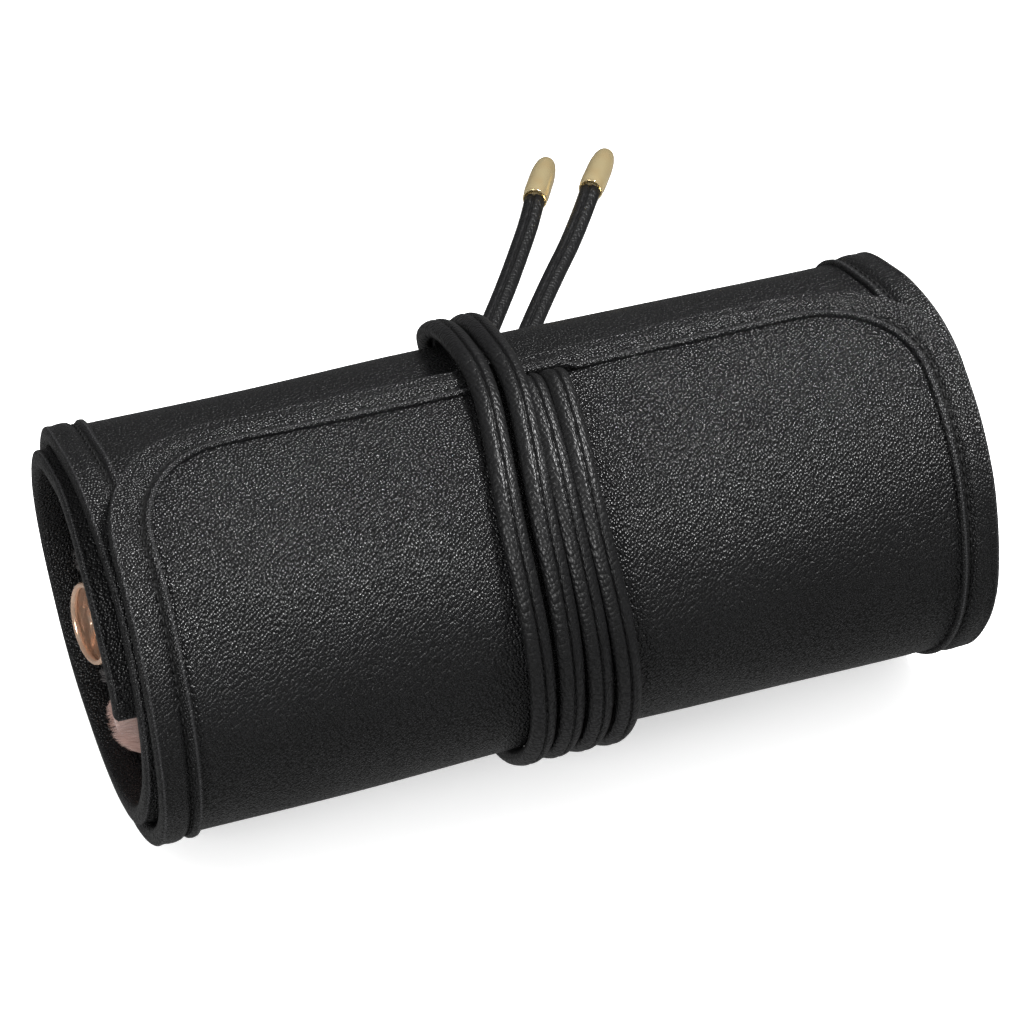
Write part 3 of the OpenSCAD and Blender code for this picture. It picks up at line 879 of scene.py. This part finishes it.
def pocket():
    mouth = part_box("pocket_hem")[0][0] / MM
    panel_x0, panel_x1 = (v[0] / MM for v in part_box("pocket_panel"))
    p = np.arange(POCKET_SEAMS[0], POCKET_SEAMS[-1] - 0.1, -1.0)[:, None]
    arc = p * ROLL_A * math.pi / 180
    panel = Shape()
    x = np.linspace(panel_x0, panel_x1, 36)[None, :]
    outer, inner = pocket_surface(x, p, 0.05), pocket_surface(x, p, POCKET_T)
    flats = np.stack(np.broadcast_arrays(x, arc, 0.0), -1)
    panel.tube(np.concatenate([outer, inner[:, ::-1]], 1),
               np.concatenate([flats, flats[:, ::-1]], 1), capped=True)
    panel.piece("pocket_front", LINING, "lining_leather", "root", ["pocket_panel"])
    hem_outline = np.array([(0.1, 0.5), (0.4, 1.3), (1, 1.5), (3, 1.5), (3.6, 1.45), (4.2, 1.25),
                            (4.2, 0), (3.6, -0.15), (0.8, -0.15), (0.2, 0.1)])
    hem = Shape()
    rings = pocket_surface(mouth + hem_outline[None, :, 0], p, hem_outline[None, :, 1])
    folds = np.arange(len(hem_outline)) * 1.0
    hem.tube(rings, np.stack(np.broadcast_arrays(folds[None, :], arc, 0.0), -1), capped=True)
    hem.piece("pocket_binding", TAPE, "edge_tape", "root", ["pocket_hem"])
    sewing = Shape()
    for seam in POCKET_SEAMS[1:-1]:
        path = np.array([[mouth + 1, seam], [panel_x1 - 1, seam]])
        stitches(sewing, path, POCKET_T + 0.05, pocket_surface)
    sewing.piece("pocket_stitches", THREAD, "edge_tape", "root")


pocket()


# ---- brushes
# How far the barrel's mouth leans along X for each mm of Y and of Z off its middle, and how far
# along the tube the slant fades away
MOUTH_SLANT = (-0.157, 0.14)
SLANT_REACH = 30


def lathe(shape, centre, profile, sides=40, flatten=1.0, slanted_from=None):
    """Profile rows (x, radius) turned round the line through centre = (y, z), along X. slanted_from
    is the X of a slanted mouth."""
    turn = np.linspace(0, 2 * math.pi, sides, endpoint=False)
    profile = np.asarray(profile, float)
    x, r = profile[:, :1], profile[:, 1:]
    rings = np.stack(np.broadcast_arrays(
        x, centre[0] + r * np.cos(turn) * flatten, centre[1] + r * np.sin(turn)), -1)
    if slanted_from is not None:
        share = 1 - ease(np.clip((x - slanted_from) / SLANT_REACH, 0, 1))
        off_y, off_z = rings[..., 1] - centre[0], rings[..., 2] - centre[1]
        rings[..., 0] += share * (MOUTH_SLANT[0] * off_y + MOUTH_SLANT[1] * off_z)
    reach = np.concatenate([[0], np.cumsum(np.linalg.norm(np.diff(profile, axis=0), axis=1))])
    size = profile[:, 1].max()
    flats = np.stack(np.broadcast_arrays(
        reach[:, None], turn[None, :] * size, np.zeros_like(rings[..., 0])), -1)
    shape.tube(rings, flats, capped=True)


def middle_of(node):
    """Y and Z of the middle of a CAD node's box, in mm."""
    low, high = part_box(node)
    return (low[1] + high[1]) / 2 / MM, (low[2] + high[2]) / 2 / MM


def span_of(node):
    """The ends along X of a CAD node's box and half its height, in mm."""
    low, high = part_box(node)
    return low[0] / MM, high[0] / MM, (high[2] - low[2]) / 2 / MM


def handle_piece(brush):
    node = brush + "_handle"
    x0, x1, r = span_of(node)
    long = x1 - x0
    profile = [(x0, 0.02), (x0 + 0.1, r * 0.68), (x0 + 4, r * 0.7), (x0 + 8, r * 0.86),
               (x0 + 12, r * 0.98), (x0 + 16, r)]
    for k in range(1, 13):
        profile.append((x0 + 16 + (long - 20) * k / 12, r * (1 - 0.46 * ease(k / 12))))
    profile += [(x1 - 2, r * 0.49), (x1 - 0.8, r * 0.38), (x1 - 0.2, r * 0.2), (x1, 0.02)]
    shape = Shape()
    lathe(shape, middle_of(node), profile)
    shape.piece(brush + "_grip", LACQUER, "brush_handle", brush + "_brush", [node])


def ferrule_piece(brush, material, slot):
    node = brush + "_ferrule"
    x0, x1, r = span_of(node)
    grip = span_of(brush + "_handle")[2] + 0.4
    # Where the ferrule is hardly wider than the grip, the collar is straight
    neck = grip if grip < r <= grip + 0.05 else r
    profile = [(x0 + 1.6, neck - 0.6), (x0 + 0.2, neck - 0.45), (x0, neck - 0.25),
               (x0 + 0.15, neck - 0.05), (x0 + 0.7, neck)]
    for k in range(1, 9):
        profile.append((x0 + 0.7 + (x1 - x0 - 8) * k / 8, neck + (grip - neck) * ease(k / 8)))
    for groove in (x1 - 6, x1 - 3.5):
        profile += [(groove, grip), (groove + 0.3, grip - 0.28), (groove + 0.7, grip - 0.28),
                    (groove + 1, grip)]
    profile += [(x1 - 0.3, grip), (x1, grip - 0.2), (x1, grip * 0.72)]
    shape = Shape()
    lathe(shape, middle_of(node), profile)
    shape.piece(brush + "_collar", material, slot, brush + "_brush", [node])


def hair_piece(brush, material, slot, count, flat_head, fluffed=0.0):
    """Strands fanned from the ferrule over a domed head, round a solid core. fluffed is how far the
    tips stand out past the head's CAD solid, in mm."""
    node = brush + "_hair"
    low, high = (np.array(corner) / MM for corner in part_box(node))
    centre = (low + high) / 2
    half_y, half_z = (high - low)[1:] / 2 + fluffed / 4
    root_x, tip_x = high[0] + 1.0, low[0] + 0.2 - fluffed
    long = root_x - tip_x
    shape = Shape()
    core = [(root_x, half_z * 0.62), (root_x - long * 0.45, half_z * 0.8),
            (root_x - long * 0.75, half_z * 0.6), (root_x - long * 0.88, half_z * 0.2)]
    lathe(shape, (centre[1], centre[2]), core, 24, half_y / half_z if flat_head else 1)
    turn = rng.uniform(0, 2 * math.pi, count)
    out = np.sqrt(rng.uniform(0.12, 1, count))
    reach = np.sqrt(np.clip(1 - 0.9 * out ** 2, 0, 1))
    tip = root_x - long * (0.62 + 0.36 * reach) * rng.uniform(0.96, 1.0, count)
    width = rng.uniform(0.1, 0.17, count)
    # Along a strand: where, how far out from the head's axis, and how thick
    t = np.array([0, 0.3, 0.62, 0.86, 1.0])
    swell = np.array([0.66, 0.9, 1.0, 0.93, 0.82])
    taper = np.array([1, 1, 0.9, 0.6, 0.15])
    bend = rng.normal(0, 0.02, (count, 2))
    for i in range(count):
        spread_y = half_y * out[i] * math.cos(turn[i]) * swell
        spread_z = half_z * out[i] * math.sin(turn[i]) * swell
        line = np.stack([
            root_x + (tip[i] - root_x) * t,
            centre[1] + spread_y + bend[i, 0] * half_y * t ** 2,
            centre[2] + spread_z + bend[i, 1] * half_z * t ** 2,
        ], 1)
        rings = np.repeat(line[:, None], 3, 1)
        for k in range(3):
            a = 2.1 * k + turn[i]
            rings[:, k, 1] += width[i] * taper * math.cos(a)
            rings[:, k, 2] += width[i] * taper * math.sin(a)
        flats = np.stack([np.full((5, 3), i * 7.0), np.repeat(t[:, None] * long, 3, 1),
                          np.zeros((5, 3))], -1)
        shape.tube(rings, flats, capped=True)
    shape.piece(brush + "_bristles", material, slot, brush + "_brush", [node])


def barrel():
    """The wide metal barrel brush, whose open mouth shows at the left end."""
    body = "barrel_brush"
    centre = middle_of("barrel_sleeve")
    x0, x1, r = span_of("barrel_sleeve")
    wall = 0.7
    sleeve = Shape()
    grip = span_of("barrel_handle")[2]
    profile = [(x0 + 44, r - wall), (x0 + 8, r - wall), (x0 + 1.6, r - wall),
               (x0 + 0.6, r - wall + 0.05), (x0 + 0.12, r - wall + 0.2), (x0, r - 0.3),
               (x0 + 0.1, r - 0.1), (x0 + 0.45, r), (x0 + 1, r), (x0 + 1.3, r - 0.16),
               (x0 + 1.7, r - 0.16), (x0 + 2, r), (x0 + 20, r), (x0 + 44, r),
               (x0 + 46, r - 0.05), (x0 + 50, r * 0.8), (x1, grip * 0.9), (x1 - 2, grip * 0.7)]
    lathe(sleeve, centre, profile, 72, slanted_from=x0)
    sleeve.piece("barrel_tube", ROSE_GOLD, "rose_gold", body, ["barrel_sleeve"])
    rim = Shape()
    bead = [(0.55 + 0.8 * math.cos(math.radians(a)), r - 0.52 + 0.7 * math.sin(math.radians(a)))
            for a in range(0, 361, 24)]
    lathe(rim, centre, [(x0 - 0.1 + x, reach) for x, reach in bead], 72, slanted_from=x0)
    rim.piece("barrel_rim", ROSE_GOLD, "rose_gold", body)
    low, high, reach = span_of("barrel_core")
    core = Shape()
    profile = [(high, reach * 0.9), (high - 0.3, reach), (low + 1.9, reach), (low + 1.6, reach - 0.3)]
    profile += [(low + 1.6, 4.5), (low + 1.3, 4.15), (low + 0.3, 4.0), (low, 3.8), (low, 3.5),
                (low + 0.2, 3.3), (low + 1.2, 3.2), (low + 1.5, 3.0), (low + 1.55, 0.05)]
    lathe(core, centre, profile, 64)
    core.piece("barrel_ring", GOLD, "polished_gold", body, ["barrel_core"])
    x0, x1, r = span_of("barrel_handle")
    grip = Shape()
    neck = r - 1.2
    profile = [(x0, 0.05), (x0 + 0.2, neck - 0.1), (x0 + 30, neck), (x0 + 60, neck),
               (x0 + 63, r - 0.9), (x0 + 66, r - 0.1), (x0 + 70, r), (x0 + 100, r),
               (x0 + 118, r - 0.8), (x0 + 128, r - 1.7), (x1 - 1, r - 2.6), (x1, 0.05)]
    lathe(grip, middle_of("barrel_handle"), profile, 48)
    grip.piece("barrel_grip", LACQUER, "brush_handle", body, ["barrel_handle"])


for brush in ("powder", "shader", "liner", "blush", "crease"):
    handle_piece(brush)
    rosy = brush in ("powder", "blush")
    ferrule_piece(brush, ROSE_GOLD if rosy else GOLD, "rose_gold" if rosy else "polished_gold")
hair_piece("powder", PINK_HAIR, "powder_hair", 1500, True, fluffed=2.0)
for brush, count in (("shader", 450), ("liner", 450), ("blush", 900), ("crease", 700)):
    hair_piece(brush, DARK_HAIR, "dark_hair", count, False)
barrel()


# ---- floor, light and world
def floor():
    mesh = bpy.data.meshes.new("floor")
    half = 6.0
    low = -0.0002
    mesh.from_pydata(
        [(-half, -half, low), (half, -half, low), (half, half, low), (-half, half, low)],
        [], [(0, 1, 2, 3)])
    n = Nodes("floor_paper")
    coordinates = n.add("ShaderNodeTexCoord").outputs["Object"]
    grain = n.noise(coordinates, 900, 3)
    colour = n.colours(grain, (0.86, 0.86, 0.86), (0.9, 0.9, 0.9))
    n.shader.inputs["Specular IOR Level"].default_value = 0.1
    n.shader.inputs["Emission Color"].default_value = (1, 1, 1, 1)
    n.shader.inputs["Emission Strength"].default_value = 0.5
    mesh.materials.append(n.finish(colour, n.spread(grain, 0.3, 0.7, 0.85, 0.95)))
    piece = bpy.data.objects.new("floor", mesh)
    bpy.context.scene.collection.objects.link(piece)
    piece.visible_glossy = False


def softbox(name, place, target, size, power):
    data = bpy.data.lights.new(name, "AREA")
    data.shape = "RECTANGLE"
    data.size, data.size_y = size
    data.energy = power
    lamp = bpy.data.objects.new(name, data)
    lamp.location = place
    way = Vector(place) - Vector(target)
    lamp.rotation_euler = way.to_track_quat("Z", "Y").to_euler()
    bpy.context.scene.collection.objects.link(lamp)


def studio_world():
    """Pale light from above and below, dark round the horizon and dimmer in reflections."""
    world = bpy.data.worlds.new("studio")
    bpy.context.scene.world = world
    world.use_nodes = True
    nodes, links = world.node_tree.nodes, world.node_tree.links
    geometry = nodes.new("ShaderNodeTexCoord")
    split = nodes.new("ShaderNodeSeparateXYZ")
    ramp = nodes.new("ShaderNodeValToRGB")
    stops = ramp.color_ramp.elements
    stops[0].position, stops[0].color = 0.0, (1, 1, 1, 1)
    stops[1].position, stops[1].color = 1.0, (0.5, 0.5, 0.5, 1)
    for place, level in ((0.28, 0.8), (0.42, 0.35), (0.5, 0.2), (0.58, 0.25), (0.75, 0.3)):
        stop = stops.new(place)
        stop.color = (level, level, level, 1)
    half = nodes.new("ShaderNodeMath")
    half.operation = "MULTIPLY_ADD"
    half.inputs[1].default_value = 0.5
    half.inputs[2].default_value = 0.5
    rays = nodes.new("ShaderNodeLightPath")
    dim = nodes.new("ShaderNodeMapRange")
    dim.inputs["To Min"].default_value = 3.2
    dim.inputs["To Max"].default_value = 0.2
    links.new(geometry.outputs["Generated"], split.inputs[0])
    links.new(split.outputs["Z"], half.inputs[0])
    links.new(half.outputs[0], ramp.inputs["Fac"])
    links.new(rays.outputs["Is Glossy Ray"], dim.inputs["Value"])
    links.new(dim.outputs["Result"], nodes["Background"].inputs["Strength"])
    links.new(ramp.outputs["Color"], nodes["Background"].inputs["Color"])


floor()
studio_world()
softbox("overhead", (0.55, 0.0, 1.3), (0, 0, 0.05), (0.4, 0.3), 28)
softbox("left", (-1.1, -0.7, 0.7), (0, 0, 0.05), (0.4, 0.4), 8)
bpy.context.scene.view_settings.view_transform = "Standard"
